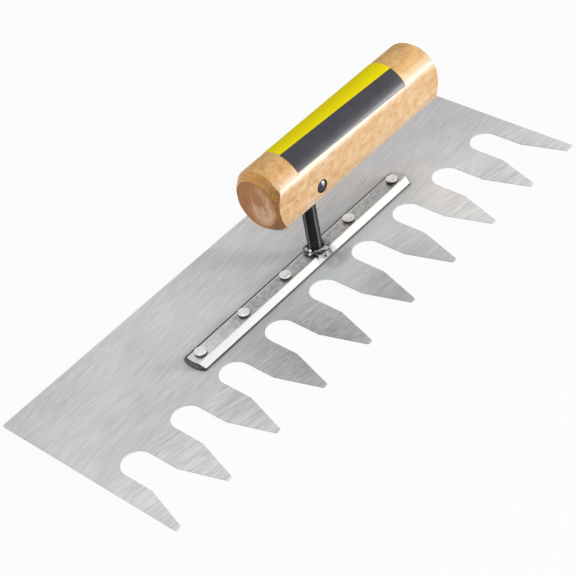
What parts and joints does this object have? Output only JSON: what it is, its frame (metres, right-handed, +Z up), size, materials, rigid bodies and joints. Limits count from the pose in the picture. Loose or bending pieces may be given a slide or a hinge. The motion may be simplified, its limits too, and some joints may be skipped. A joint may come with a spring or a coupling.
{
  "type": "notched trowel",
  "caption": "Flat steel adhesive trowel with deep U-shaped notches between pointed teeth, a riveted bar, a welded post and a wooden grip.",
  "frame": {"origin": "middle of the blade's underside, where the tool lies on a flat surface", "axes": "+X along the blade towards the far end of the grip, -Y towards the tips of the teeth, +Z up through the post to the grip"},
  "size_m": [0.3, 0.111, 0.072],
  "materials": {
    "brushed_blade": "fine brushing along the blade",
    "bright_steel": "bright, fine pitting on the top",
    "black_paint": "satin black paint",
    "weld_metal": "lumpy, bright and dark",
    "dark_steel": "smooth domed head",
    "varnished_wood": "glossy varnish",
    "printed_film": "glossy film in two bands, charcoal and yellow"
  },
  "bodies": {
    "root": {"blade": "brushed_blade", "backing_bar": "bright_steel", "rivet_1": "bright_steel", "rivet_2": "bright_steel", "rivet_3": "bright_steel", "rivet_4": "bright_steel", "rivet_5": "bright_steel", "post": "black_paint", "weld_bead": "weld_metal", "handle_grip": "varnished_wood", "handle_pin": "dark_steel", "label": "printed_film"}
  },
  "joints": []
}
